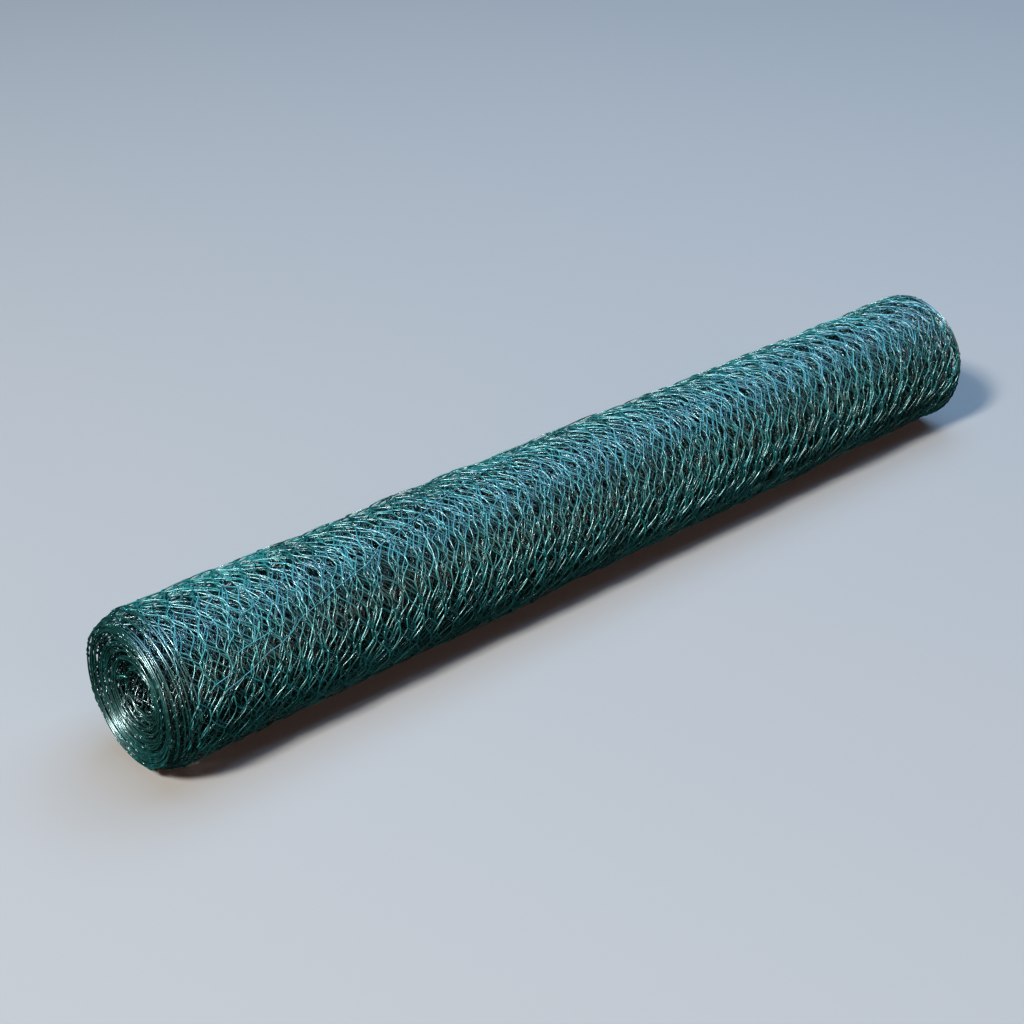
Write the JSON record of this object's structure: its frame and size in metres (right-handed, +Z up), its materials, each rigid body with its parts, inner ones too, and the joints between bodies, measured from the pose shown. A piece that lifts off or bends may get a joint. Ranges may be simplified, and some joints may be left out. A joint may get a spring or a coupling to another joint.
{
  "type": "roll of hexagonal wire netting",
  "caption": "Roll of plastic-coated hexagonal wire netting lying on its side, its turns showing on both stepped ends around an open bore.",
  "frame": {"origin": "middle of the roll's footprint on the floor, straight below the middle of its axis", "axes": "+X along the roll's axis from the near end, whose turns stand out as a rim, to the far end; +Z up"},
  "size_m": [1, 0.1378, 0.1381],
  "materials": {
    "coated_wire": "dark green plastic coating over galvanised steel wire, with a soft gloss"
  },
  "bodies": {
    "root": {"netting_roll": "coated_wire"}
  },
  "joints": []
}
